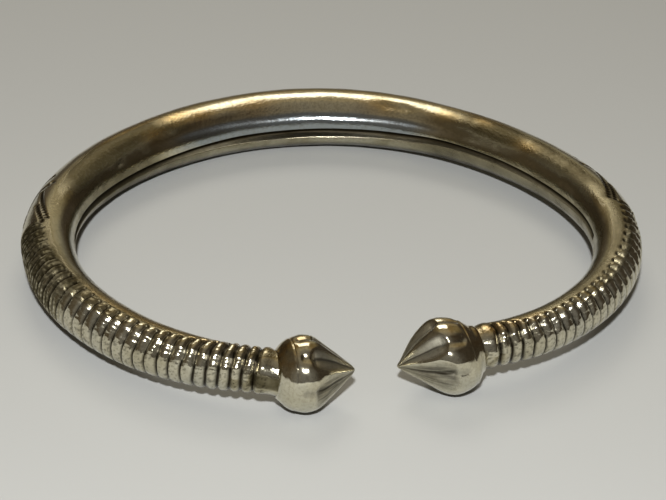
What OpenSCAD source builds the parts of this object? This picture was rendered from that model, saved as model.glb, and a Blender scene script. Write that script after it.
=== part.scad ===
// Open silver bangle. A tube is bent to a hoop, plain at the back and ribbed towards
// its two ends, with a band of zigzag between. A fluted bud is soldered to each end.
// The hoop lies on its side. +Z is up, +Y points to the back and the gap is at -Y.
// An angle along the hoop starts at the back and grows towards the left end, at -X.
// An angle round the tube starts at its outer side and grows over the top.

/* [Hoop] */
// Radius of the tube's centre line
hoop_r = 34; // [32:0.5:37]
// Three lobes that pull the hoop out of round
lobe3 = 0.5; // [0:0.1:0.8]
// Four lobes that pull the hoop out of round
lobe4 = 0.3; // [0:0.1:0.6]
// How far the left end is bent inwards
pull_left = 1.1; // [0:0.1:3]
// How far the right end is bent inwards
pull_right = 3.4; // [0:0.1:4]
// Height that the centre line gains from the back to the ends
end_rise = 1.1; // [0.9:0.05:1.3]
// Height that the right side gains over the middle
side_rise = 0.3; // [0:0.05:0.6]

/* [Tube] */
// Angle along the hoop where the tube ends on the left
tube_end_left = 160; // [159.5:0.1:160.2]
// Angle along the hoop where the tube ends on the right
tube_end_right = 157.1; // [156.8:0.1:157.3]

/* [Ribs] */
// Angle of the first groove on the left
ribs_from_left = 88.5; // [88:0.5:92]
// Angle of the first groove on the right
ribs_from_right = 93; // [90:0.5:95]
// Plain neck left between the last groove and the tube's end, in degrees
neck_left = 1.4; // [1:0.2:3]
// The same at the right end
neck_right = 0.6; // [0.4:0.2:3]
// Depth of the left grooves
rib_deep_left = 0.35; // [0.1:0.05:0.4]
// Depth of the right grooves
rib_deep_right = 0.28; // [0.1:0.02:0.4]
// Angle round the tube where the left grooves run out
rib_top_left = 98; // [80:1:110]
// Angle round the tube where the right grooves run out
rib_top_right = 88; // [80:1:110]

/* [Zigzag band] */
// Depth of the chased lines
zig_deep = 0.18; // [0.05:0.01:0.25]
// Length of a leg along the hoop, in degrees
zig_long = 16; // [8:1:16]
// Angle round the tube of the zigzag's points
zig_point = 50; // [40:5:60]

/* [Seam] */
// Width of the seam where the sheet's edges meet
seam_w = 0.3; // [0.2:0.05:0.5]
// Depth of the seam, the thickness of the sheet
seam_deep = 0.6; // [0.3:0.1:0.8]
// Angle where the seam closes on the left
seam_end_left = 89; // [80:1:92]
// Angle where the seam closes on the right
seam_end_right = 92; // [80:1:95]

/* [Buds] */
// Length of the left bud
bud_long_left = 8.3; // [7.5:0.1:8.6]
// Length of the right bud
bud_long_right = 9.2; // [8.4:0.1:9.4]
// Largest radius of the left bud
bud_r_left = 4.25; // [4.1:0.05:4.5]
// Largest radius of the right bud
bud_r_right = 4.4; // [4.2:0.05:4.6]
// Share of the radius that a flute takes away
flute_share = 0.2; // [0.05:0.01:0.25]

/* [Hidden] */

SILVER = "#8f8c76";

// Points round the tube, and the flutes round a bud
around = 24;
flutes = 6;
turn = 360 / around;

// Where the lobes of the hoop point, in degrees
lobe3_at = 8;
lobe4_at = -14;
// Where the ends start to bend inwards, and over how many degrees
pull_from = 135;
pull_over = 35;
// Length of one degree along the hoop
deg_long = hoop_r * PI / 180;

// Columns: angle along the hoop, radius of the tube
TUBE = [
    [-160, 2.45], [-130, 2.65], [-90, 3.2], [-45, 3.4], [0, 3.85],
    [45, 3.55], [90, 3.25], [130, 2.95], [160, 2.5],
];
// Columns: angle along the hoop, pitch of the grooves on the left
PITCH_LEFT = [[88, 1.5], [100, 1.55], [118, 1.7], [130, 1.48], [142, 1.38], [158, 1.15]];
// Columns: angle along the hoop, pitch of the grooves on the right
PITCH_RIGHT = [[92, 1.6], [110, 1.65], [130, 1.5], [142, 1.4], [157, 1.3]];
// Columns: angle along the hoop, angle round the tube where the seam runs
SEAM = [
    [-104, 180], [-92, 173], [-56, 171], [-38, 172], [-22, 179], [-6, 184],
    [10, 183], [30, 181], [60, 177], [89, 175], [100, 180],
];
// Columns: share of the bud's length, share of its radius, share of the flute's depth
BUD = [
    [0, 0.76, 0], [0.05, 0.86, 0], [0.12, 0.94, 0], [0.15, 0.915, 0], [0.18, 0.96, 0],
    [0.32, 1, 0], [0.41, 0.985, 0.3], [0.48, 0.92, 0.9], [0.56, 0.81, 1], [0.66, 0.64, 1],
    [0.77, 0.46, 1], [0.88, 0.28, 1], [0.96, 0.14, 0.7], [0.99, 0.06, 0],
];
// Direction of each bud: turn in the plan from the axis X, and its dip
bud_turn_left = 5;
bud_dip_left = 2;
bud_turn_right = 5.8;
bud_dip_right = 6;
// Where each bud's axis starts from the middle of the tube's end
bud_from_left = [1.4, -0.35, -0.45];
bud_from_right = [-0.3, -0.05, -0.35];
// Radius of the solder fillet at the foot of a bud
foot_r_left = 2.65;
foot_r_right = 2.6;

// Angles in a groove's pitch: bottom, near shoulder, far shoulder
rib_steps = [0, 0.27, 0.73];
// Angle round the tube over which grooves run out
rib_fade = 8;
// The last grooves on the left pass over the top from here on
over_top_from = 150;
over_top_by = 60;
// The two zigzag lines: places of their inner corners before the first groove
zig_places = [8.5, 4];
// Half width of a chased line along the hoop
zig_half = 1.5;
// Steps from the bent rings to the straight ones
zig_blend = 5;
// Spacing of rings along the plain back
plain_step = 4.6;

function unit(v) = v / norm(v);
function clamp01(x) = min(1, max(0, x));
function ease(x) = let (c = clamp01(x)) c * c * (3 - 2 * c);
function wrap(a) = a > 180 ? a - 360 : a;

// Straight lines and smooth curves through a table's rows
function lookup_row(x, rows, i = 0) =
    i >= len(rows) - 2 || x < rows[i + 1][0] ? i : lookup_row(x, rows, i + 1);
function table_slope(rows, i) =
    let (a = max(0, i - 1), b = min(len(rows) - 1, i + 1))
    (rows[b][1] - rows[a][1]) / (rows[b][0] - rows[a][0]);
function smooth_table(x, rows) =
    let (i = lookup_row(x, rows), p = rows[i], q = rows[i + 1])
    let (h = q[0] - p[0], s = clamp01((x - p[0]) / h))
    let (m0 = table_slope(rows, i) * h, m1 = table_slope(rows, i + 1) * h)
    (2 * s ^ 3 - 3 * s ^ 2 + 1) * p[1] + (s ^ 3 - 2 * s ^ 2 + s) * m0
    + (3 * s ^ 2 - 2 * s ^ 3) * q[1] + (s ^ 3 - s ^ 2) * m1;

// Hoop: centre line, and the outward and upward directions of a section
function pull(at, by) = by * clamp01((at - pull_from) / pull_over) ^ 2;
function plan_r(at) =
    hoop_r + lobe3 * cos(3 * (at - lobe3_at)) + lobe4 * cos(4 * (at - lobe4_at))
    - pull(at, pull_left) - pull(-at, pull_right);
function tube_r(at) = smooth_table(at, TUBE);
function centre(at) =
    let (r = plan_r(at), x = -r * sin(at))
    [x, r * cos(at), tube_r(0) + end_rise * (1 - cos(at)) / 2 + side_rise * x / hoop_r];
function along(at) = unit(centre(at + 0.5) - centre(at - 0.5));
function outward(way) = unit(cross(way, [0, 0, 1]));
function section(mid, way, angles, radii) =
    let (out = outward(way), up = cross(out, way))
    [for (j = [0:around - 1]) mid + radii[j] * (cos(angles[j]) * out + sin(angles[j]) * up)];

// Seam: how open it is along the hoop, and the angles round the tube, with the first
// point in the seam and the next and last ones on its edges
function seam_open(at) =
    ease((seam_end_left - at) / 4) * ease((at + seam_end_right) / 4);
function section_angles(at) =
    let (edge = seam_w / 2 / tube_r(at) * 180 / PI)
    let (half = turn + (edge - turn) * ease(seam_open(at) * 4))
    let (mid = smooth_table(at, SEAM), step = (360 - 2 * half) / (around - 2))
    [for (j = [0:around - 1]) j == 0 ? mid : mid + half + (j - 1) * step];

// Ribs: the grooves' places, and how much of their depth a point takes
function groove_places(at, to, rows) =
    at > to ? [] :
    concat([at], groove_places(at + smooth_table(at, rows) / deg_long, to, rows));
function rib_reach(at, a) =
    let (top = at > 0 ? rib_top_left + over_top_by * clamp01((at - over_top_from) / 4)
                      : rib_top_right)
    1 - ease((abs(wrap(a % 360)) - top) / rib_fade + 0.5);
function rib_stations(places, side, deep) =
    [for (i = [0:len(places) - 2]) for (k = [0:2])
        [side * (places[i] + rib_steps[k] * (places[i + 1] - places[i])), k == 0 ? deep : 0]];

// Zigzag: how far a point of a line lies towards the back, in degrees
function zig_shift(a) =
    let (b = abs(wrap(a % 360)))
    b < zig_point ? zig_long * b / zig_point :
    zig_long * clamp01((2 * zig_point - 10 - b) / (zig_point - 10));

// Rings. Each names its angle, the depth cut there, and the zigzag's share of shift
function ring(at, deep, shift) =
    let (angles = section_angles(at))
    [for (j = [0:around - 1])
        let (a = angles[j], side = at > 0 ? 1 : -1)
        let (here = at - side * shift * zig_shift(a))
        let (cut = (j == 0 ? seam_deep * seam_open(here) : 0)
                 + deep * (shift > 0 ? (abs(wrap(a % 360)) < 85 ? 1 : 0) : rib_reach(at, a)))
        let (way = along(here), out = outward(way), up = cross(out, way))
        centre(here) + (tube_r(here) - cut) * (cos(a) * out + sin(a) * up)];

places_left = groove_places(ribs_from_left, tube_end_left - neck_left, PITCH_LEFT);
places_right = groove_places(ribs_from_right, tube_end_right - neck_right, PITCH_RIGHT);
last_left = places_left[len(places_left) - 1];
last_right = places_right[len(places_right) - 1];
ribs_left = concat(rib_stations(places_left, 1, rib_deep_left), [[last_left, rib_deep_left]]);
ribs_right = concat(rib_stations(places_right, -1, rib_deep_right), [[-last_right, rib_deep_right]]);

// A zigzag line takes three rings, with the middle one cut. The rings between the lines
// and the plain back bend less and less
function zigzag_rings(first, side) =
    let (plain = band_end(first), last = first - zig_places[0] - zig_half)
    concat(
        [for (z = [len(zig_places) - 1:-1:0]) for (k = [1:-1:-1])
            ring(side * (first - zig_places[z] + k * zig_half), k == 0 ? zig_deep : 0, 1)],
        [for (s = [1 - 1 / zig_blend:-1 / zig_blend:0.01])
            ring(side * (plain + s * (last - plain)), 0, s)]);
function reverse(list) = [for (i = [len(list) - 1:-1:0]) list[i]];

// Plain back: even rings between the two bands
function band_end(first) = first - zig_places[0] - zig_long - 3;
plain_left = band_end(ribs_from_left);
plain_right = band_end(ribs_from_right);
plain_count = round((plain_left + plain_right) / plain_step);

// Buds: rings round each bud's own axis, from its tip to its foot
function heading(turned, dip) = [cos(turned) * cos(dip), sin(turned) * cos(dip), -sin(dip)];
function bud_way(side) = side > 0 ? heading(bud_turn_left, bud_dip_left)
                                  : heading(180 + bud_turn_right, bud_dip_right);
function bud_foot(side) = side > 0 ? centre(tube_end_left) + bud_from_left
                                   : centre(-tube_end_right) + bud_from_right;
even_angles = [for (j = [0:around - 1]) 180 + turn * j];
function bud_rings(side, long, r, foot_r) =
    let (way = bud_way(side), foot = bud_foot(side))
    concat(
        [section(foot, side * way, even_angles, [for (j = [0:around - 1]) foot_r])],
        [for (row = BUD)
            section(foot + row[0] * long * way, side * way, even_angles,
                [for (a = even_angles)
                    row[1] * r * (1 - flute_share * row[2] * (1 + cos(flutes * a)) / 2)])]);
tip_left = bud_foot(1) + bud_long_left * bud_way(1);
tip_right = bud_foot(-1) + bud_long_right * bud_way(-1);

// All rings from the left tip to the right one
rings = concat(
    reverse(bud_rings(1, bud_long_left, bud_r_left, foot_r_left)),
    [ring(tube_end_left, 0, 0)],
    [for (s = reverse(ribs_left)) ring(s[0], s[1], 0)],
    zigzag_rings(ribs_from_left, 1),
    [for (i = [0:plain_count])
        ring(plain_left - i * (plain_left + plain_right) / plain_count, 0, 0)],
    reverse(zigzag_rings(ribs_from_right, -1)),
    [for (s = ribs_right) ring(s[0], s[1], 0)],
    [ring(-tube_end_right, 0, 0)],
    bud_rings(-1, bud_long_right, bud_r_right, foot_r_right));

loose = concat([for (r = rings) each r], [tip_left, tip_right]);
low = [for (k = [0:2]) min([for (p = loose) p[k]])];
high = [for (k = [0:2]) max([for (p = loose) p[k]])];
// The origin is under the middle of the part, on the surface that it lies on
points = [for (p = loose) p - [(low[0] + high[0]) / 2, (low[1] + high[1]) / 2, low[2]]];

count = len(rings);
first_tip = count * around;
last_tip = first_tip + 1;
function at_ring(i, j) = i * around + j % around;
faces = concat(
    [for (i = [0:count - 2]) for (j = [0:around - 1]) each [
        [at_ring(i, j), at_ring(i + 1, j), at_ring(i + 1, j + 1)],
        [at_ring(i, j), at_ring(i + 1, j + 1), at_ring(i, j + 1)]]],
    [for (j = [0:around - 1]) [first_tip, at_ring(0, j), at_ring(0, j + 1)]],
    [for (j = [0:around - 1]) [last_tip, at_ring(count - 1, j + 1), at_ring(count - 1, j)]]);

module bangle() {
    color(SILVER) polyhedron(points, faces);
}

bangle();
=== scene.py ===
"""Open silver bangle with fluted buds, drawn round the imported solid.

The hoop is a round tube that lies on its side: plain at the back, ribbed towards its ends,
with a chased zigzag band between. Lengths are in millimetres until a mesh is placed.
An angle along the hoop starts at the back and grows towards the left end, at -X.
An angle round the tube starts at its outer side and grows over the top.
"""
import math
from bisect import bisect_right

import bmesh
import bpy
from mathutils import Matrix, Vector, noise


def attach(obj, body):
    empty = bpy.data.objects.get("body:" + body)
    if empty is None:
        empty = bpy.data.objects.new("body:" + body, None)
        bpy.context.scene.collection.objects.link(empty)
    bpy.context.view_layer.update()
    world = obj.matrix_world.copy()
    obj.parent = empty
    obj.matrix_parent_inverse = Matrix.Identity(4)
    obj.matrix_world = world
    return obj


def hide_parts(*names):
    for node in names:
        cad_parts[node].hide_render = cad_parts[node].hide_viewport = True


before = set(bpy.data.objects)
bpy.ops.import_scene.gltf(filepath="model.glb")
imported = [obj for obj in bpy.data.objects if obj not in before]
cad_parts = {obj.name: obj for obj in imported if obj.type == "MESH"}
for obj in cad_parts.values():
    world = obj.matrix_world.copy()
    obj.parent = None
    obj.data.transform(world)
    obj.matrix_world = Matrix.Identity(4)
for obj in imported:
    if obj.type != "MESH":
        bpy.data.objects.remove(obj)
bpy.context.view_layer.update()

MM = 0.001
UP = Vector((0, 0, 1))

# Hoop, as in the part's source
HOOP_R = 34.0
LOBE3, LOBE3_AT = 0.5, 8.0
LOBE4, LOBE4_AT = 0.3, -14.0
PULL_LEFT, PULL_RIGHT = 1.1, 3.4
PULL_FROM, PULL_OVER = 135.0, 35.0
END_RISE, SIDE_RISE = 1.1, 0.3
# Middle of the footprint and the lowest point before the part is set on its origin
FOOTPRINT = Vector((0.19, 1.23, -0.04))
DEG_LONG = HOOP_R * math.pi / 180

# Columns: angle along the hoop, radius of the tube
TUBE = [(-160, 2.45), (-130, 2.65), (-90, 3.2), (-45, 3.4), (0, 3.85),
        (45, 3.55), (90, 3.25), (130, 2.95), (160, 2.5)]
TUBE_END_LEFT, TUBE_END_RIGHT = 160.0, 157.1

# Ribs: first groove, plain neck, and columns of angle and pitch
RIBS_FROM_LEFT, RIBS_FROM_RIGHT = 88.5, 93.0
NECK_LEFT, NECK_RIGHT = 1.4, 0.6
PITCH_LEFT = [(88, 1.5), (100, 1.55), (118, 1.7), (130, 1.48), (142, 1.38), (158, 1.15)]
PITCH_RIGHT = [(92, 1.6), (110, 1.65), (130, 1.5), (142, 1.4), (157, 1.3)]

# Seam: columns of angle along the hoop and angle round the tube, at the edge of the upper sheet
SEAM = [(-104, 161), (-96, 164), (-88, 167), (-78, 171.5), (-62, 172), (-50, 170.5), (-37, 171),
        (-28, 175), (-21, 176.5), (-12, 178), (6, 178.5), (17, 178), (30, 179.5), (45, 179.5),
        (60, 178), (74, 173), (89, 168), (100, 166)]
SEAM_END_LEFT, SEAM_END_RIGHT = 90.0, 103.0
# Columns of angle along the hoop and of the open slit's width, then of where the lower sheet's
# edge stands beyond it, then of how deep that sheet is tucked in
SEAM_GAP = [(-104, 0.18), (-60, 0.22), (-37, 0.28), (-21, 0.42), (-8, 0.68), (4, 0.7), (17, 0.5),
            (30, 0.3), (90, 0.22)]
SEAM_EDGE = [(-104, 0.7), (-79, 0.8), (-50, 0.95), (-21, 1.5), (0, 1.65), (14, 1.6), (30, 1.35),
             (53, 1.35), (90, 0.8)]
SEAM_DEEP = [(-104, 0.3), (-50, 0.5), (-21, 0.8), (0, 1.0), (17, 0.85), (40, 0.55), (90, 0.35)]
# Points across the seam: shares of the slit and of the tucked sheet, millimetres beyond them,
# depth as a share, and how dark the metal is painted there: painted shade in the open slit and on
# the tucked flank below the upper sheet's edge, with tarnish on the flank
SEAM_PROFILE = [
    (0, 0, 0, 0.03, 0.3), (0, 0, 0.05, 0.7, 1), (0.35, 0, 0.03, 1.1, 1), (0.7, 0, 0, 1.12, 1),
    (1, 0, 0, 1.03, 1), (1, 0.25, 0, 0.97, 1), (1, 0.5, 0, 0.85, 0.95), (1, 0.65, 0, 0.68, 0.85),
    (1, 0.78, 0, 0.47, 0.75), (1, 0.88, 0, 0.26, 0.65), (1, 0.95, 0, 0.1, 0.4), (1, 1, 0, 0.02, 0),
    (1, 1, 0.07, 0, 0), (1, 1, 0.17, 0, 0), (1, 1, 0.34, 0, 0), (1, 1, 0.55, 0, 0)]
# How far the upper sheet's edge stands proud along the seam, the angles round the tube where it
# starts to rise and over which it does, and the same along the hoop where it ends
LIP_HIGH, LIP_FROM, LIP_OVER, LIP_TO, LIP_FADE = 0.32, 136.0, 30.0, 66.0, 24.0

# Zigzag band: rows of punched marks, each from one place to another, as degrees before the first
# groove and degrees round the tube, then the half width, the depth and the marks' spacing
ZIGZAG = [((21.5, 57), (20, 44)), ((17.7, 70), (14.7, 43)), ((13.5, 58), (1.2, 89)),
          ((7.7, 60), (0.7, 78)), ((20, 44), (9, 20)), ((14.7, 43), (3, 20)), ((9, 20), (12, 0)),
          ((3, 20), (6, 0))]
ZIG_HALF_WIDTH, ZIG_DEEP, PUNCH_STEP = 0.31, 0.22, 0.72
# Where the band can lie at all: degrees before the first groove, and degrees round the tube
BAND_NEAR, BAND_FAR, BAND_ROUND = 0.2, 24.0, 95.0

# Buds: side, length, largest radius, turn in the plan, dip, the foot's place from the tube's end
# and its radius, and how far the solder's fillet reaches behind it. Then the turns of the flutes,
# from the outer side over the top, the share of the length where each starts, how far the outline
# sits askew, and the outline (share of the length, share of the radius)
BUDS = {
    "left": dict(
        side=1, long=8.3, r=4.25, turned=5.0, dip=2.0, off=(1.4, -0.35, -0.45), foot=2.65, fillet=0.6,
        flutes=(-160, -108, -5, 56, 98, 160), from_share=(0.4, 0.42, 0.35, 0.31, 0.4, 0.4), askew=0.0,
        outline=[(0, 0.72), (0.05, 0.82), (0.1, 0.885), (0.138, 0.922), (0.152, 0.917),
                 (0.168, 0.934), (0.22, 0.968), (0.31, 1), (0.41, 0.978), (0.48, 0.925), (0.56, 0.825),
                 (0.66, 0.66), (0.77, 0.475), (0.88, 0.28), (0.96, 0.14), (0.985, 0.085), (1, 0.045)]),
    "right": dict(
        side=-1, long=9.2, r=4.4, turned=185.8, dip=6.0, off=(-0.3, -0.05, -0.35), foot=2.6, fillet=0.15,
        flutes=(-150, -100, 2, 52, 100, 158), from_share=(0.42, 0.44, 0.33, 0.41, 0.44, 0.42), askew=0.05,
        outline=[(0, 0.6), (0.04, 0.67), (0.08, 0.745), (0.12, 0.812), (0.138, 0.836), (0.152, 0.84),
                 (0.168, 0.865), (0.22, 0.925), (0.3, 0.975), (0.38, 1), (0.46, 0.978), (0.53, 0.915),
                 (0.6, 0.82), (0.68, 0.69), (0.77, 0.53), (0.86, 0.345), (0.92, 0.21), (0.97, 0.1),
                 (1, 0.04)]),
}
# The turn towards which an askew outline leans
ASKEW_AT = 123.0
# Flutes: how deep they are as a share of the radius, how softly they start, and the narrow groove
# that runs on up the bulb: where it starts, its depth as a share, and its half width in degrees
FLUTE_SHARE, FLUTE_STARTS = 0.2, 0.1
GROOVE_FROM, GROOVE_SHARE, GROOVE_HALF = 0.18, 0.05, 7.5

# The photograph's camera: its aim on the hoop's plane, its distance, height angle and lens
PHOTO_W = 666
VIEW_FROM, VIEW_UP, VIEW_ROLL = -9.0, 28.3, 1.42
VIEW_AWAY, VIEW_RIGHT, VIEW_LIFT, VIEW_AIM_Z = 260.0, -0.387, 1.79, 4.0
LENS_PX = 2141.0
SENSOR_MM = 36.0


def clamp01(x):
    return min(1.0, max(0.0, x))


def ease(x):
    x = clamp01(x)
    return x * x * (3 - 2 * x)


def zone(x, start, over, stop, out):
    """1 between two places, with a soft start and a soft stop."""
    return ease((x - start) / over) * (1 - ease((x - stop) / out))


def bell(x):
    """A smooth bump: 1 at 0, and nothing past 2."""
    return math.exp(-x ** 2)


def sin(deg):
    return math.sin(math.radians(deg))


def cos(deg):
    return math.cos(math.radians(deg))


def curve(x, rows):
    """A smooth curve through a table's rows."""
    i = 0
    while i < len(rows) - 2 and x >= rows[i + 1][0]:
        i += 1

    def slope(k):
        a, b = max(0, k - 1), min(len(rows) - 1, k + 1)
        return (rows[b][1] - rows[a][1]) / (rows[b][0] - rows[a][0])

    (x0, y0), (x1, y1) = rows[i], rows[i + 1]
    h = x1 - x0
    s = clamp01((x - x0) / h)
    return ((2 * s ** 3 - 3 * s ** 2 + 1) * y0 + (s ** 3 - 2 * s ** 2 + s) * slope(i) * h
            + (3 * s ** 2 - 2 * s ** 3) * y1 + (s ** 3 - s ** 2) * slope(i + 1) * h)


def wobble(x, y=0.0, z=0.0):
    """Smooth noise between -1 and 1 that repeats on every run."""
    return noise.noise(Vector((x + 7.3, y + 3.1, z + 1.7)))


# Centre line of the hoop
def plan_r(at):
    pulled = [by * clamp01((side * at - PULL_FROM) / PULL_OVER) ** 2
              for side, by in ((1, PULL_LEFT), (-1, PULL_RIGHT))]
    return (HOOP_R + LOBE3 * cos(3 * (at - LOBE3_AT)) + LOBE4 * cos(4 * (at - LOBE4_AT)) - sum(pulled))


def tube_r(at):
    return curve(at, TUBE)


BACK_R = tube_r(0)


def centre(at):
    r = plan_r(at)
    x = -r * sin(at)
    return Vector((x, r * cos(at), BACK_R + END_RISE * (1 - cos(at)) / 2 + SIDE_RISE * x / HOOP_R))


def along(at):
    return (centre(at + 0.5) - centre(at - 0.5)).normalized()


def heading(bud):
    return Vector((cos(bud["turned"]) * cos(bud["dip"]), sin(bud["turned"]) * cos(bud["dip"]),
                   -sin(bud["dip"])))


def bud_foot(bud):
    end = TUBE_END_LEFT if bud["side"] > 0 else -TUBE_END_RIGHT
    return centre(end) + Vector(bud["off"])


# The solder runs from the tube's end to just inside the bud
SOLDER_IN = 0.25


def spine(at):
    """Centre, direction and radius of the tube, which bends into a bud's foot past its end."""
    for bud, end in ((BUDS["left"], TUBE_END_LEFT), (BUDS["right"], -TUBE_END_RIGHT)):
        past = (at - end) * bud["side"] * DEG_LONG
        if past > 0:
            start, foot = centre(end), bud_foot(bud) + SOLDER_IN * heading(bud)
            s = clamp01(past / (foot - start).length)
            way = along(end).lerp(bud["side"] * heading(bud), ease(s)).normalized()
            flare = tube_r(end) + (bud["foot"] - tube_r(end)) * s
            return start.lerp(foot, s), way, flare
    return centre(at), along(at), tube_r(at)


def solder_long(bud):
    end = TUBE_END_LEFT if bud["side"] > 0 else -TUBE_END_RIGHT
    return (bud_foot(bud) + SOLDER_IN * heading(bud) - centre(end)).length / DEG_LONG


def grooves(at, to, rows):
    """Places of the grooves along one side."""
    places = []
    while at <= to:
        places.append(at)
        at += curve(at, rows) / DEG_LONG
    return places


GROOVES = {1: grooves(RIBS_FROM_LEFT, TUBE_END_LEFT - NECK_LEFT, PITCH_LEFT),
           -1: grooves(RIBS_FROM_RIGHT, TUBE_END_RIGHT - NECK_RIGHT, PITCH_RIGHT)}

# Points round the tube past the seam's own, in degrees from it: close on the ribbed outer side
OFFSETS = ([34, 40, 48, 57, 67, 78, 90, 102, 114, 126, 137, 147, 155] + [161 + 2.3 * k for k in range(57)]
           + [292.1 + 4.4 * k for k in range(12)] + [345, 349, 352.5, 355, 357, 358.4, 359.4])

# Rings within one rib, in shares of its pitch, and the spacing of rings elsewhere in degrees
RIB_SHARES = (0.0, 0.06, 0.13, 0.21, 0.31, 0.42, 0.54, 0.66, 0.77, 0.86, 0.94)
BAND_STEP, PLAIN_STEP, NECK_STEP = 0.3, 1.25, 0.3

# Where the ribs run out on top: columns of angle along the hoop and angle round the tube
RIB_TOP = {1: [(86, 79), (96, 83), (103, 89), (115, 94), (124, 88), (140, 86), (146, 92), (151, 112),
               (154, 150)],
           -1: [(90, 74), (102, 76), (110, 82), (120, 87), (140, 83), (147, 82), (152, 96), (155, 112)]}
RIB_FADE = 7.0
# The lower face, which mirrors the table: angle round the tube where it ends, and over which it does
LOWER_TO, LOWER_OVER = 8.0, 26.0
# Grooves: depth and lean, then half width on the lower face, above it and at the very end, where
# the last ones start, and the half width of the black line at the bottom of each and what the
# last ones and the rough ones add to it
RIB_DEEP, RIB_LEAN = {1: 0.27, -1: 0.25}, {1: 0.34, -1: 0.1}
HALF_LOW, HALF_HIGH, HALF_LAST = 0.14, 0.33, 0.27
LAST_FROM, LAST_OVER = 146.0, 5.0
LINE_HALF, LINE_LAST, LINE_ROUGH = 0.13, 0.1, 0.12
# How much each rib is domed above its lower face
RIB_ROUND = {1: 0.05, -1: 0.13}
# The left side is chased roughly up to here, with broken strokes and a second stroke between two
# grooves: its depth and half width
ROUGH_TO, ROUGH_OVER = 110.0, 12.0
SECOND_DEEP, SECOND_HALF = 0.13, 0.17
# The ribbed side is driven in below the smooth strip on top: depth, and angles where it starts and
# ends and over which it does
RIB_SUNK = 0.2
SUNK_FROM, SUNK_IN, SUNK_TO, SUNK_OUT = -48.0, 58.0, 36.0, 34.0
# Beads along each rib, left by the punch: degrees apart, half size round the tube and along the
# hoop, and height
BEAD_APART, BEAD_SIZE, BEAD_LONG, BEAD_HIGH = 11.0, 0.27, 0.5, 0.088
# How dull the rounded ribs are rubbed
RIB_DULL = 0.24

# Height of the slow wave that filing left along each neck, and where it starts and how long it is
NECK_WAVE, NECK_WAVE_FROM, NECK_WAVE_LONG = 0.085, 0.4, 3.8

# Unevenness left by hand work: height on most of the tube, what the plain back and what the necks
# add to it, size along the hoop in millimetres and round the tube in degrees, and seed
UNEVEN = [(0.04, 0, 0, 7, 50, 0), (0.01, 0.014, 0.008, 2.4, 20, 5), (0.003, 0.003, 0.004, 1.1, 12, 8)]

# Pits, then soft dents: angle along the hoop, angle round the tube, radius and depth
PITS = [(52.5, 148.4, 0.2, 0.3), (50.0, 143, 0.3, 0.05), (48.1, 118.8, 0.25, 0.05),
        (34.3, 113.3, 0.2, -0.04), (-18, 120, 0.25, 0.04), (12, 100, 0.2, 0.03), (-60, 140, 0.25, 0.04),
        (74, 120, 0.2, 0.04)]
DENTS = [(-22, 122, 0.8, 0.26), (-26.5, 121, 0.75, 0.22), (-31, 124, 0.9, 0.08), (31, 112, 1.2, 0.08),
         (8, 122, 1.3, 0.05), (-8, 128, 1.0, 0.05), (-52, 118, 1.4, 0.07), (44, 126, 1.5, 0.06),
         (19, 130, 1.2, -0.05)]
# How much longer a dent and a patch of gold are along the hoop than round the tube
DENT_LONGER, GOLD_LONGER = 1.6, 2

# Tarnish film on the upper side: columns of angle along the hoop and its strength, and of the
# angle round the tube where it begins
FILM = [(-160, 0.7), (-125, 0.6), (-108, 0.65), (-92, 0.8), (-80, 0.8), (-66, 0.95), (-48, 0.95),
        (-40, 0.7), (-32, 0.35), (-20, 0.05), (-10, 0.0), (14, 0.0), (24, 0.3), (31, 0.7), (38, 1),
        (65, 1), (78, 0.4), (92, 0.1), (103, 0.2), (112, 0.6), (120, 0.9), (138, 0.9), (148, 0.25),
        (160, 0.25)]
FILM_FROM = [(-160, 78), (-100, 78), (-80, 82), (-66, 80), (-50, 74), (-38, 68), (38, 68), (50, 72),
             (66, 80), (80, 86), (95, 86), (107, 78), (142, 78), (150, 80), (160, 80)]
# Film on the inner face, by angle along the hoop
FILM_INNER = [(-160, 0.5), (-60, 0.55), (-36, 0.6), (-24, 0.25), (18, 0.25), (32, 0.5), (60, 0.65),
              (160, 0.5)]
# Film on the far edge of the back, on the outer shoulder of the left and of the right side, and on
# the ends of the tube, and how bright the lip above the seam is rubbed
FILM_RIM, FILM_SHOULDER, FILM_END, LIP_BRIGHT = 0.6, {1: 0.8, -1: 0.6}, 0.9, 1.4
# Windows in the film, where it shows gold: angle along the hoop, angle round the tube, radius,
# strength, then the strength on the far edge and on the strip beside the left ribs
GOLD = [(29, 100, 1.2, 0.6), (38, 131, 1.0, 0.4), (-61, 122, 1.0, 0.35), (-46, 97, 0.8, 0.3),
        (24, 120, 1.2, 0.6), (-20, 124, 1.4, 0.45), (10, 122, 1.5, 0.5), (-36, 118, 1.2, 0.35),
        (-155, 82, 0.8, 0.7), (-150.5, 86, 0.7, 0.45), (-146, 88, 0.6, 0.3)]
GOLD_RIM, GOLD_STRIP = 0.3, 0.35
# Painted shade on the underside, on the tube and on the buds: how dark it is painted where it faces the
# shadowed floor next to the contact
UNDER_PAINTED_SHADE, UNDER_BUD_PAINTED_SHADE = 0.75, 0.7


def spread(start, stop, step):
    """Even places from start to stop, without stop."""
    count = max(1, round(abs(stop - start) / step))
    return [start + (stop - start) * k / count for k in range(count)]


def side_stations(side):
    """Angles from the plain back to the very end on one side, as positive numbers."""
    bud = BUDS["left" if side > 0 else "right"]
    end = TUBE_END_LEFT if side > 0 else TUBE_END_RIGHT
    cuts = GROOVES[side]
    band_from = cuts[0] - ZIGZAG[0][0][0] - 2
    ribs = [a + s * (b - a) for a, b in zip(cuts, cuts[1:]) for s in RIB_SHARES]
    neck = [cuts[-1] + s * 2.2 for s in RIB_SHARES[:6]]
    return (spread(0, band_from, PLAIN_STEP) + spread(band_from, cuts[0], BAND_STEP) + ribs + neck
            + spread(neck[-1] + 0.2, end + solder_long(bud) - 0.1, NECK_STEP)
            + [end + solder_long(bud)])


def seam_open(at):
    return ease((SEAM_END_LEFT - at) / 4) * ease((at + SEAM_END_RIGHT) / 4)


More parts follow.
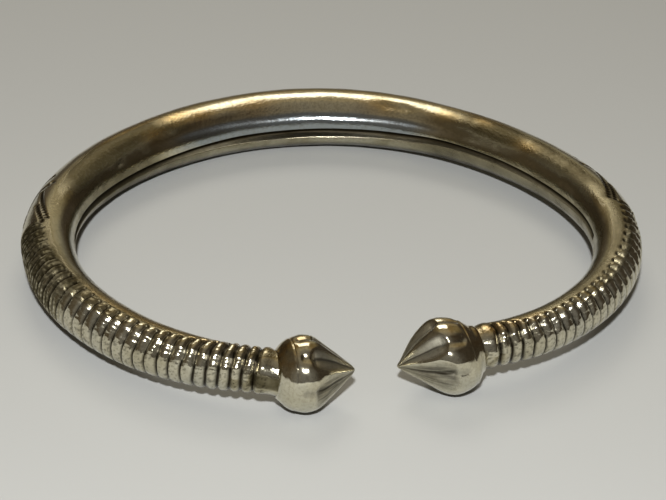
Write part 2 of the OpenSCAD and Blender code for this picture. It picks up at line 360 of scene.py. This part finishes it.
def rib_relief(at, a):
    """How deep the ribs are cut at a point, how dark and dull it is, and how far a groove leans."""
    side = 1 if at > 0 else -1
    cuts, x = GROOVES[side], abs(at)
    if x < cuts[0] - 1.5:
        return 0.0, 0.0, 0.0, 0.0
    k = min(max(bisect_right(cuts, x) - 1, 0), len(cuts) - 2)
    last = x > cuts[-1]
    near, pitch = (cuts[-1] if last else cuts[k]), cuts[k + 1] - cuts[k]
    u = (x - near) / pitch
    gap = abs(u) if (last or u < 0) else min(u, 1 - u)
    off = gap * pitch * DEG_LONG
    here = k + round(clamp01(u))
    worn = ease((x - ROUGH_TO) / ROUGH_OVER) if side > 0 else 1.0
    last_ones = ease((x - LAST_FROM) / LAST_OVER)
    above = ease((a - LOWER_TO) / LOWER_OVER)
    half = HALF_LOW + (HALF_HIGH - HALF_LOW) * above * (0.6 + 0.4 * worn)
    half = (half + (HALF_LAST - half) * last_ones) * (1 + 0.25 * wobble(here * 1.9, side * 9))
    top = curve(x, RIB_TOP[side]) + 4 * wobble(here * 3.1, side * 2)
    reach = 1 - ease((abs(a) - top) / RIB_FADE + 0.5)
    first = ease((x - cuts[0]) / 0.6 + 1.2)
    strokes = worn + (1 - worn) * (0.6 + 0.4 * ease(1.5 * wobble(a / 7, here * 3.7, 2) + 0.75))
    groove = bell(off / half) * reach * first * strokes
    line = bell(off / (LINE_HALF + LINE_LAST * last_ones + LINE_ROUGH * (1 - worn))) * reach * first * strokes
    second = bell((u - 0.5) * pitch * DEG_LONG / SECOND_HALF) * (1 - worn) * reach * first
    second *= ease(2 * wobble(a / 9, here * 2.9, 4) + 0.9)
    deep = RIB_DEEP[side] * (1 + 0.35 * wobble(here * 2.3, side * 5)) * (0.85 + 0.15 * worn)
    dome = RIB_ROUND[side] * min(1, (2 * u - 1) ** 2) * above * reach * first * (0 if last or u < 0 else 1)

    step = a / BEAD_APART + 1.3 * wobble(k * 2.7, side * 6)
    bead = 0.0
    for cell in (math.floor(step), math.floor(step) + 1):
        around = (step - cell - 0.3 * wobble(cell * 3.3, k * 1.7)) * BEAD_APART * math.pi / 180 * tube_r(at)
        across = (u - 0.5 - 0.35 * wobble(cell * 5.1, k * 2.9)) * pitch * DEG_LONG
        size = BEAD_SIZE * (1 + 0.4 * wobble(cell * 1.3, k * 4.1))
        share = 1 + 0.8 * wobble(cell * 2.1, k * 3.3, 4)
        bead += share * bell(math.hypot(around / size, across / BEAD_LONG))
    bead *= BEAD_HIGH * (0.15 + 0.85 * above) * reach * first * (0 if last else 1)
    mottle = 0.02 * wobble(x * 1.4, a / 10, side) * reach * first

    sinks = ease((x - cuts[0] + 2) / 8) * (1 - ease((x - cuts[-1] - 0.3) / 0.7))
    sunk = RIB_SUNK * (1 - ease((a - SUNK_TO) / SUNK_OUT)) * ease((a - SUNK_FROM) / SUNK_IN) * sinks
    lean = (RIB_LEAN[side] * (a - 40) / 60 + 0.25 * wobble(k + u, a / 40, side * 4)) * reach * first
    # The rough ribs are sooty but for their crests, a quarter and three quarters across each
    rough = (1 - worn) * reach * first
    crest = bell(min(abs(u - 0.26), abs(u - 0.76)) / 0.11) * ease(3 * wobble(x * 1.3, a / 7, 6) + 0.6)
    soot = rough * (1 - 1.15 * crest) * (0.25 + 0.75 * ease((a - 24) / 30))
    fleck = ease(3 * wobble(x * 2.4, a / 6, 3) - 0.2) * (1 - above) * reach * first
    rubbed = (0 if last else RIB_DULL) * above * reach * first
    return (deep * groove + SECOND_DEEP * second + dome + sunk + mottle - bead,
            max(line, 0.9 * second, 0.6 * soot, 0.5 * fleck),
            max(rough * (1 - 0.6 * crest), rubbed), lean * side)


def zigzag_relief(at, a):
    """How deep the punched zigzag is at a point."""
    x, y = GROOVES[1 if at > 0 else -1][0] - abs(at), abs(a)
    round_mm = tube_r(at) * math.pi / 180
    deepest = 0.0
    for (x0, y0), (x1, y1) in ZIGZAG:
        leg = Vector(((x1 - x0) * DEG_LONG, (y1 - y0) * round_mm))
        to = Vector(((x - x0) * DEG_LONG, (y - y0) * round_mm))
        s = min(leg.length, max(0.0, to.dot(leg) / leg.length))
        off = (to - leg * (s / leg.length)).length
        punch = 0.65 + 0.35 * math.cos(2 * math.pi * s / PUNCH_STEP)
        deepest = max(deepest, math.exp(-(off / ZIG_HALF_WIDTH) ** 4) * punch)
    return deepest


def rim_on(at, a):
    """How far a point is on the far edge of the plain back's top."""
    return zone(a, 62, 8, 86, 8) * ease((56 - abs(at)) / 10)


def lip_high(at, a):
    """How far the upper sheet's edge stands proud along the seam, so that a streak of light lies on it."""
    return LIP_HIGH * ease((a - LIP_FROM) / LIP_OVER) * ease((LIP_TO - abs(at)) / LIP_FADE)


def film_on(at, a):
    """Tarnish on the hoop, from 1 where it is thickest to below 0 where the metal is rubbed bright."""
    x, side = abs(at), 1 if at > 0 else -1
    top = curve(at, FILM) * ease((a - curve(at, FILM_FROM)) / 14)
    top *= 1 - 0.55 * ease((a - 128) / 20)
    top *= 1 - 0.7 * zone(a, 100, 12, 124, 14) * zone(x, 82, 12, 134, 10)
    top *= 1 - ease((a - 160) / 16)
    shoulder = FILM_SHOULDER[side] * zone(x, 82, 8, 122, 12) * zone(a, 54, 10, 92, 12)
    inner = curve(at, FILM_INNER) * zone(a, 150, 20, 240, 40)
    end = FILM_END * ease((x - 157.3) / 0.6) * (1 - ease((abs(a if a < 180 else a - 360) - 14) / 12))
    neck = ease((x - 153) / 2) * ease((a - 62) / 10) * (0.3 + 0.5 * wobble(at / 1.3, a / 16, 7))
    bright = zone(a, 142, 10, 176, 8) * ease((42 - x) / 16)
    return max(top, FILM_RIM * rim_on(at, a), shoulder, inner, end, neck) - LIP_BRIGHT * bright


def patch_on(row, at, a, r, longer=1):
    """What a round patch, given by its place, radius and most, comes to at a point of the tube."""
    row_at, row_a, radius, most = row
    away = math.hypot((at - row_at) * DEG_LONG / longer, (a - row_a) * math.pi / 180 * r)
    return most * bell(away / radius) if away < 3 * radius else 0.0


def gold_on(at, a):
    """How far the film shows gold at a point of the hoop."""
    strip = ease((at - 112) / 14) * zone(a, 88, 10, 122, 10)
    return max([GOLD_RIM * rim_on(at, a), GOLD_STRIP * strip]
               + [patch_on(row, at, a, tube_r(at), GOLD_LONGER) for row in GOLD])


def ring_at(at):
    """What all points of one ring share: its frame, and its own points across the seam."""
    mid, way, r = spine(at)
    out = way.cross(UP).normalized()
    gap, edge, deep = curve(at, SEAM_GAP), curve(at, SEAM_EDGE), curve(at, SEAM_DEEP)
    opened = seam_open(at)
    points = [((slit * gap + tuck * (edge - gap) + beyond) / r * 180 / math.pi, opened * deep * share,
               opened * dark) for slit, tuck, beyond, share, dark in SEAM_PROFILE]
    points += [(offset, 0.0, 0.0) for offset in OFFSETS]
    return dict(at=at, seam=curve(at, SEAM), points=points, r=r, mid=mid, out=out, up=out.cross(way))


def hoop_point(ring, j):
    """A point's place, its looks (dark from cuts and from painted shade, filmed, dull and golden), and its
    place unrolled.
    """
    at, r = ring["at"], ring["r"]
    # The seam's last value is painted shade: dark in the open slit and on the flank below the upper sheet's
    # edge, with tarnish on the flank
    offset, seam_cut, seam_shade = ring["points"][j]
    a = ring["seam"] + offset
    flat = a if a <= 180 else a - 360
    a = a if a < 360 else a - 360
    rib, dark, dull, lean = rib_relief(at, flat)
    cuts = GROOVES[1 if at > 0 else -1]
    in_band = BAND_NEAR < cuts[0] - abs(at) < BAND_FAR and abs(flat) < BAND_ROUND
    zig = zigzag_relief(at, flat) if in_band else 0
    pit = sum(patch_on(row, at, flat, r) for row in PITS)
    dent = sum(patch_on(row, at, flat, r, DENT_LONGER) for row in DENTS)
    back, neck = ease((75 - abs(at)) / 20), ease((abs(at) - 152) / 4)
    uneven = sum((high + back_more * back + neck_more * neck)
                 * wobble(at * DEG_LONG / long, flat / wide, seed)
                 for high, back_more, neck_more, long, wide, seed in UNEVEN)
    wave = NECK_WAVE * sin(-360 * clamp01((abs(at) - cuts[-1] - NECK_WAVE_FROM) / NECK_WAVE_LONG))
    lip = lip_high(at, a) if offset < 0.3 or offset > 200 else 0
    cut = rib + ZIG_DEEP * zig + seam_cut + pit + dent + uneven + wave - lip
    mid, out, up = ring["mid"], ring["out"], ring["up"]
    if lean:
        mid, way, r = spine(at + lean)
        out = way.cross(UP).normalized()
        up = out.cross(way)
    place = mid + (r - cut) * (cos(a) * out + sin(a) * up)
    gold = gold_on(at, flat)
    film = film_on(at, a) * (1 - gold)
    # Roughly struck metal, which is more than rubbed dull, holds film as well
    film = max(film, 1.2 * dull - 0.3) if dull > 0.25 else film
    # Painted shade: the underside, which faces the shadowed floor at the contact, is painted dark
    painted_under_shade = UNDER_PAINTED_SHADE * zone(-flat, 38, 14, 130, 20)
    looks = (max(dark, min(1, 1.4 * zig), seam_shade, 4 * pit, painted_under_shade), film, max(dull, 0.6 * seam_shade), gold)
    return place, looks, (at * DEG_LONG, offset * math.pi / 180 * ring["r"])


def place_mm(p):
    return (p - FOOTPRINT) * MM


def finish_mesh(bm, name):
    """Turns a bmesh into an object that rides on the part and stands for its node."""
    bmesh.ops.recalc_face_normals(bm, faces=bm.faces)
    for face in bm.faces:
        face.smooth = True
    mesh = bpy.data.meshes.new(name)
    bm.to_mesh(mesh)
    bm.free()
    made = bpy.data.objects.new(name, mesh)
    bpy.context.scene.collection.objects.link(made)
    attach(made, "root")
    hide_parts("bangle")
    return made


def look_layers(bm):
    """Values that the material reads: dark cuts and painted shade, tarnish film, worn dull metal, and gold
    tarnish.
    """
    return [bm.verts.layers.float.new(name) for name in ("hollow_and_shade", "film", "dull", "gold")]


def build_hoop():
    """The tube: a circle spun into rings, each then set on its station of the hoop."""
    stations = ([s for s in reversed(side_stations(1))] + [-s for s in side_stations(-1)[1:]])
    rings, around = len(stations), len(SEAM_PROFILE) + len(OFFSETS)
    shared = [ring_at(at) for at in stations]
    step = math.radians(300) / (rings - 1)
    bm = bmesh.new()
    upright = Matrix.Translation((1, 0, 0)) @ Matrix.Rotation(math.pi / 2, 4, "X")
    bmesh.ops.create_circle(bm, segments=around, radius=0.3, matrix=upright)
    bmesh.ops.spin(bm, geom=bm.verts[:] + bm.edges[:], cent=(0, 0, 0), axis=(0, 0, 1), dvec=(0, 0, 0),
                   angle=step * (rings - 1), steps=rings - 1, use_merge=False, use_duplicate=False)
    layers = look_layers(bm)
    unrolled = {}
    for v in bm.verts:
        swung = math.atan2(v.co.y, v.co.x)
        ring = round((swung if swung > -step / 2 else swung + 2 * math.pi) / step)
        turn = math.atan2(v.co.z, math.hypot(v.co.x, v.co.y) - 1) % (2 * math.pi)
        j = round(turn / (2 * math.pi) * around) % around
        place, looks, flat = hoop_point(shared[ring], j)
        unrolled[v] = (flat, j)
        v.co = place_mm(place)
        for layer, value in zip(layers, looks):
            v[layer] = value
    unroll = bm.loops.layers.uv.new("unrolled")
    for face in bm.faces:
        wraps = max(unrolled[v][1] for v in face.verts) == around - 1
        for loop in face.loops:
            (u, w), j = unrolled[loop.vert]
            if wraps and j == 0:
                w = 2 * math.pi * tube_r(u / DEG_LONG)
            loop[unroll].uv = (u, w)
    bmesh.ops.holes_fill(bm, edges=[e for e in bm.edges if e.is_boundary], sides=0)
    return finish_mesh(bm, "hoop")


# Points round a bud and along it
BUD_AROUND, BUD_ALONG = 240, 110


def flute_relief(share, turn, bud):
    """Share of the radius that a flute takes, how dark its bottom is (with painted shade in the flute on the
    outer side), and how dull its faces are.
    """
    turns = bud["flutes"]
    turn += 2.5 * wobble(share * 4, turn / 60, bud["side"])
    k = min(range(len(turns)), key=lambda n: abs((turn - turns[n] + 180) % 360 - 180))
    off = (turn - turns[k] + 180) % 360 - 180
    beside = turns[(k + (1 if off > 0 else -1)) % len(turns)]
    half = abs((beside - turns[k] + 180) % 360 - 180) / 2
    start = bud["from_share"][k]
    grown = clamp01((share - start) / 0.3)
    reach = half * math.sqrt(grown * (2 - grown))
    if share > 0.995:
        return 0.0, 0.0, 0.0
    near = math.hypot(off, 1.5)
    vee = max(0.0, 1 - near / reach) ** 1.15 if reach > 1 else 0.0
    begun = ease((share - start) / FLUTE_STARTS)
    deep = FLUTE_SHARE * begun * vee * min(1, half / 28)
    groove = (ease((share - GROOVE_FROM) / 0.08) * (1 - ease((share - start) / 0.12))
              * bell(off / GROOVE_HALF))
    lobe = 0.018 * (1 - math.cos(math.pi * clamp01(abs(off) / half))) / 2 - 0.018
    lobe *= -ease((share - 0.15) / 0.1) * (1 - ease((share - start) / 0.12))
    line = bell(off / 3.5)
    # Painted shade: the flute on the outer side at mid height is painted dark where it mirrors the bud's own
    # shadow, broken up by noise
    low = 1 - ease((abs(turns[k]) - 8) / 20)
    outer_flute_shade = low * begun * vee ** 0.5 * (0.68 + 0.5 * wobble(share * 6, turn / 3.2, 9))
    dark = max(begun * line * 0.9, 0.3 * groove, 0.55 * begun * vee ** 0.8, min(1, outer_flute_shade))
    return deep + GROOVE_SHARE * groove + lobe, dark, begun * min(1, 2.5 * vee)


def build_bud(which):
    """A bud: its outline spun round its axis, then fluted and set on the tube's end."""
    bud = BUDS[which]
    long, big, outline = bud["long"], bud["r"], bud["outline"]
    shares = sorted(set([k / BUD_ALONG for k in range(BUD_ALONG + 1)] + [row[0] for row in outline]))
    bm = bmesh.new()
    back = -bud["fillet"]
    line = [Vector((0, 0, back)), Vector(((1 + back / 8) * bud["foot"], 0, back))]
    line += [Vector((curve(s, outline) * big, 0, s * long)) for s in shares]
    line.append(Vector((0, 0, long + 0.05)))
    verts = [bm.verts.new(p) for p in line]
    edges = [bm.edges.new(pair) for pair in zip(verts, verts[1:])]
    bmesh.ops.spin(bm, geom=verts + edges, cent=(0, 0, 0), axis=(0, 0, 1), dvec=(0, 0, 0),
                   angle=2 * math.pi, steps=BUD_AROUND, use_merge=True, use_duplicate=False)
    bmesh.ops.remove_doubles(bm, verts=bm.verts, dist=1e-5)
    layers = look_layers(bm)
    way = heading(bud)
    out = (bud["side"] * way).cross(UP).normalized()
    up = out.cross(bud["side"] * way)
    foot = bud_foot(bud)
    for v in bm.verts:
        share, turn = v.co.z / long, math.degrees(math.atan2(v.co.y, v.co.x))
        cut, dark, dull = flute_relief(share, turn, bud)
        r = math.hypot(v.co.x, v.co.y)
        if 0 < share < 1:
            slid = share - bud["askew"] * cos(turn - ASKEW_AT) * ease(share / 0.1) * ease((1 - share) / 0.3)
            r = curve(slid, outline) * big
        uneven = 0.02 * wobble(share * long / 2.5, turn / 35, bud["side"] * 4)
        v.co = place_mm(foot + v.co.z * way
                        + (r * (1 - cut) - uneven * min(1, r)) * (cos(turn) * out + sin(turn) * up))
        # Painted shade on the bud's underside, where it faces the shadowed floor
        dark = max(dark, UNDER_BUD_PAINTED_SHADE * zone(-turn, 52, 12, 120, 20))
        film = 0.25 * (1 - ease((share - 0.12) / 0.1)) * ease((turn - 10) / 40)
        gold = 0.5 * ease((turn - 30) / 25) * (1 - ease((share - 0.3) / 0.15)) * clamp01(
            1.5 * wobble(share * 9, turn / 14, 6) + 0.5)
        for layer, value in zip(layers, (dark, film, dull, gold)):
            v[layer] = value
    return finish_mesh(bm, "bud_" + which)


hoop = build_hoop()
buds = [build_bud("left"), build_bud("right")]


# Colours and nodes
def linear(hex_colour):
    """An sRGB hex colour as the linear values that shaders take."""
    parts = [int(hex_colour[k:k + 2], 16) / 255 for k in (1, 3, 5)]
    return tuple(p / 12.92 if p <= 0.04045 else ((p + 0.055) / 1.055) ** 2.4 for p in parts) + (1.0,)


def add(tree, kind, inputs=None, **settings):
    """Adds a node, sets its properties, and fills its inputs with values or links."""
    made = tree.nodes.new(kind)
    for name, value in settings.items():
        setattr(made, name, value)
    for name, value in (inputs or {}).items():
        if isinstance(value, bpy.types.NodeSocket):
            tree.links.new(value, made.inputs[name])
        else:
            made.inputs[name].default_value = value
    return made


def new_material(name):
    material = bpy.data.materials.new(name)
    material.use_nodes = True
    tree = material.node_tree
    tree.nodes.clear()
    return material, tree


PER_MM = 1000.0  # pattern scale for features 1 mm apart on coordinates in metres


def tarnished_silver(name, stretched, grain_mm):
    """Old silver, bent from sheet or cast, chased, and rubbed bright by wear.

    The eye gets a slightly yellow mirror, where tarnish lies first gold and then dull olive brown,
    black in the cuts that polish never reaches, grainy with small scratches, and dull where it is
    struck roughly. The same black also paints shade: on the underside, in the seam's slit and on the
    flank below it, and in a bud's outer flute. Wear across the tube draws its highlights out along it.
    """
    material, tree = new_material(name)
    where = add(tree, "ShaderNodeTexCoord")
    hollow_and_shade, film, dull, gold = (add(tree, "ShaderNodeAttribute", attribute_name=part)
                                for part in ("hollow_and_shade", "film", "dull", "gold"))
    cloud = add(tree, "ShaderNodeTexNoise", {"Vector": where.outputs["Object"], "Scale": PER_MM / 5,
                                             "Detail": 4.0, "Roughness": 0.6})
    speck = add(tree, "ShaderNodeTexNoise", {"Vector": where.outputs["Object"], "Scale": PER_MM / 0.35,
                                             "Detail": 3.0, "Roughness": 0.7})
    uneven = add(tree, "ShaderNodeMapRange", {"Value": cloud.outputs["Fac"], "From Min": 0.35,
                                              "From Max": 0.65, "To Min": -0.18, "To Max": 0.18})
    film_here = add(tree, "ShaderNodeMath", {0: film.outputs["Fac"], 1: uneven.outputs["Result"]},
                    operation="ADD")
    thin = add(tree, "ShaderNodeMapRange", {"Value": film_here.outputs["Value"], "From Min": 0.0,
                                            "From Max": 0.35})
    thick = add(tree, "ShaderNodeMapRange", {"Value": film_here.outputs["Value"], "From Min": 0.25,
                                             "From Max": 0.95})
    bright = add(tree, "ShaderNodeMapRange", {"Value": film_here.outputs["Value"], "From Min": 0.0,
                                              "From Max": -1.0})
    plain = add(tree, "ShaderNodeMix", {"Factor": bright.outputs["Result"], "A": linear("#d9d3bc"),
                                        "B": linear("#aab2b6")}, data_type="RGBA")
    golden = add(tree, "ShaderNodeMix", {"Factor": thin.outputs["Result"], "A": plain.outputs["Result"],
                                         "B": linear("#bab193")}, data_type="RGBA")
    filmed = add(tree, "ShaderNodeMix", {"Factor": thick.outputs["Result"], "A": golden.outputs["Result"],
                                         "B": linear("#5a5239")}, data_type="RGBA")
    gilt = add(tree, "ShaderNodeMix", {"Factor": gold.outputs["Fac"], "A": filmed.outputs["Result"],
                                       "B": linear("#bf9744")}, data_type="RGBA")
    grain = add(tree, "ShaderNodeMapRange", {"Value": speck.outputs["Fac"], "From Min": 0.45,
                                             "From Max": 0.7, "To Min": 0.0, "To Max": 0.4})
    dusty = add(tree, "ShaderNodeMix", {"Factor": grain.outputs["Result"], "A": gilt.outputs["Result"],
                                        "B": linear("#857d68")}, data_type="RGBA")
    # Black in the cuts, and painted shade on the underside, in the seam and in a bud's outer flute
    black = add(tree, "ShaderNodeMapRange", {"Value": hollow_and_shade.outputs["Fac"], "From Min": 0.05,
                                             "From Max": 0.9, "To Min": 0.0, "To Max": 0.97})
    colour = add(tree, "ShaderNodeMix", {"Factor": black.outputs["Result"], "A": dusty.outputs["Result"],
                                         "B": linear("#241d11")}, data_type="RGBA")
    rub = add(tree, "ShaderNodeMapRange", {"Value": cloud.outputs["Fac"], "From Min": 0.3,
                                           "From Max": 0.7, "To Min": 0.07, "To Max": 0.12})
    struck = add(tree, "ShaderNodeMath", {0: dull.outputs["Fac"], 1: 0.26, 2: rub.outputs["Result"]},
                 operation="MULTIPLY_ADD")
    filthy = add(tree, "ShaderNodeMath", {0: thick.outputs["Result"], 1: 0.3, 2: struck.outputs["Value"]},
                 operation="MULTIPLY_ADD")
    brushed = add(tree, "ShaderNodeMath", {0: bright.outputs["Result"], 1: 0.08, 2: filthy.outputs["Value"]},
                  operation="MULTIPLY_ADD")
    rough = add(tree, "ShaderNodeMath", {0: black.outputs["Result"], 1: 0.3, 2: brushed.outputs["Value"]},
                operation="MULTIPLY_ADD", use_clamp=True)
    patchy = add(tree, "ShaderNodeMath", {0: gold.outputs["Fac"], 1: thick.outputs["Result"]},
                 operation="MAXIMUM")
    grainy = add(tree, "ShaderNodeMath", {0: patchy.outputs["Value"], 1: 0.4, 2: 0.2},
                 operation="MULTIPLY_ADD")
    relief = add(tree, "ShaderNodeBump", {"Strength": grainy.outputs["Value"], "Distance": grain_mm * MM,
                                          "Height": speck.outputs["Fac"]})
    along = add(tree, "ShaderNodeTangent", direction_type="UV_MAP", uv_map="unrolled")
    metal = add(tree, "ShaderNodeBsdfPrincipled", {"Base Color": colour.outputs["Result"], "Metallic": 1.0,
                                                   "Roughness": rough.outputs["Value"],
                                                   "Normal": relief.outputs["Normal"]})
    if stretched:
        metal.inputs["Anisotropic"].default_value = stretched
        tree.links.new(along.outputs["Tangent"], metal.inputs["Tangent"])
    add(tree, "ShaderNodeOutputMaterial", {"Surface": metal.outputs["BSDF"]})
    return material


hoop.data.materials.append(tarnished_silver("worn_sheet_silver", 0.85, 0.13))
cast_silver = tarnished_silver("worn_cast_silver", 0, 0.035)
for bud in buds:
    bud.data.materials.append(cast_silver)


# Floor
FLOOR_HALF = 1.5


def pale_floor():
    """Plain matt board: a pale, slightly warm grey with no pattern."""
    material, tree = new_material("pale_matt_board")
    matt = add(tree, "ShaderNodeBsdfPrincipled", {"Base Color": linear("#c9cbc9"), "Roughness": 0.95,
                                                  "Specular IOR Level": 0.1})
    add(tree, "ShaderNodeOutputMaterial", {"Surface": matt.outputs["BSDF"]})
    return material


bm = bmesh.new()
bmesh.ops.create_grid(bm, x_segments=1, y_segments=1, size=FLOOR_HALF)
floor_mesh = bpy.data.meshes.new("floor")
bm.to_mesh(floor_mesh)
bm.free()
floor = bpy.data.objects.new("floor", floor_mesh)
floor.data.materials.append(pale_floor())
bpy.context.scene.collection.objects.link(floor)

# Camera
view_in = Vector((-sin(VIEW_FROM) * cos(VIEW_UP), cos(VIEW_FROM) * cos(VIEW_UP), -sin(VIEW_UP)))
view_side = Vector((cos(VIEW_FROM), sin(VIEW_FROM), 0))
view_top = view_side.cross(view_in)
right = cos(VIEW_ROLL) * view_side + sin(VIEW_ROLL) * view_top
top = -sin(VIEW_ROLL) * view_side + cos(VIEW_ROLL) * view_top
eye = (Vector((0, 0, VIEW_AIM_Z)) - VIEW_AWAY * view_in - VIEW_RIGHT * right - VIEW_LIFT * top)
camera_data = bpy.data.cameras.new("photograph")
camera_data.sensor_width = SENSOR_MM
camera_data.lens = LENS_PX / PHOTO_W * SENSOR_MM
camera_data.clip_start = 0.01
camera = bpy.data.objects.new("photograph", camera_data)
camera.matrix_world = Matrix.Translation(place_mm(eye)) @ Matrix((right, top, -view_in)).transposed().to_4x4()
bpy.context.scene.collection.objects.link(camera)
bpy.context.scene.camera = camera


# Light
def area_light(name, at_mm, size_mm, watts, colour):
    """A lamp that faces the middle of the hoop: a disc, or a panel where it has two sizes."""
    data = bpy.data.lights.new(name, "AREA")
    data.shape = "RECTANGLE" if len(size_mm) > 1 else "DISK"
    data.size, data.size_y = size_mm[0] * MM, size_mm[-1] * MM
    data.energy = watts
    data.color = linear(colour)[:3]
    lamp = bpy.data.objects.new(name, data)
    at = Vector(at_mm) * MM
    lamp.matrix_world = Matrix.Translation(at) @ (-at).to_track_quat("-Z", "Y").to_matrix().to_4x4()
    bpy.context.scene.collection.objects.link(lamp)


area_light("flash", (-46, -258, 214), (18,), 0.96, "#ffffff")
area_light("lamp_behind", (10, 300, 370), (240, 210), 0.4, "#fffaf0")

# Room: its darkest tone, then soft glows with direction, the cosines at which each starts and is full, colour
ROOM_DARK = "#413a31"
GLOWS = [((0, 0, 1), 0.78, 0.99, "#767166"),
         ((0.1, 0.6, 0.8), 0.72, 0.94, "#6e5f3c"),
         ((-1, -0.1, 0.45), 0.5, 0.95, "#3f392e"),
         ((0.19, 0.91, 0.38), 0.93, 0.99, "#6c6c60"),
         ((0.05, 0.97, 0.2), 0.88, 0.97, "#34302a"),
         ((-0.15, -0.95, 0.3), 0.5, 0.97, "#5e5f5f")]


def build_room():
    world = bpy.data.worlds.new("room")
    world.use_nodes = True
    tree = world.node_tree
    tree.nodes.clear()
    toward = add(tree, "ShaderNodeTexCoord").outputs["Generated"]
    colour = linear(ROOM_DARK)
    for way, starts, full, tone in GLOWS:
        facing = add(tree, "ShaderNodeVectorMath", {0: toward, 1: Vector(way).normalized()},
                     operation="DOT_PRODUCT")
        share = add(tree, "ShaderNodeMapRange", {"Value": facing.outputs["Value"], "From Min": starts,
                                                 "From Max": full}, interpolation_type="SMOOTHSTEP")
        lit = add(tree, "ShaderNodeMix", {"Factor": share.outputs["Result"], "A": colour, "B": linear(tone)},
                  data_type="RGBA", blend_type="ADD")
        colour = lit.outputs["Result"]
    light = add(tree, "ShaderNodeBackground", {"Color": colour})
    add(tree, "ShaderNodeOutputWorld", {"Surface": light.outputs["Background"]})
    return world


bpy.context.scene.world = build_room()
bpy.context.scene.view_settings.view_transform = "Standard"
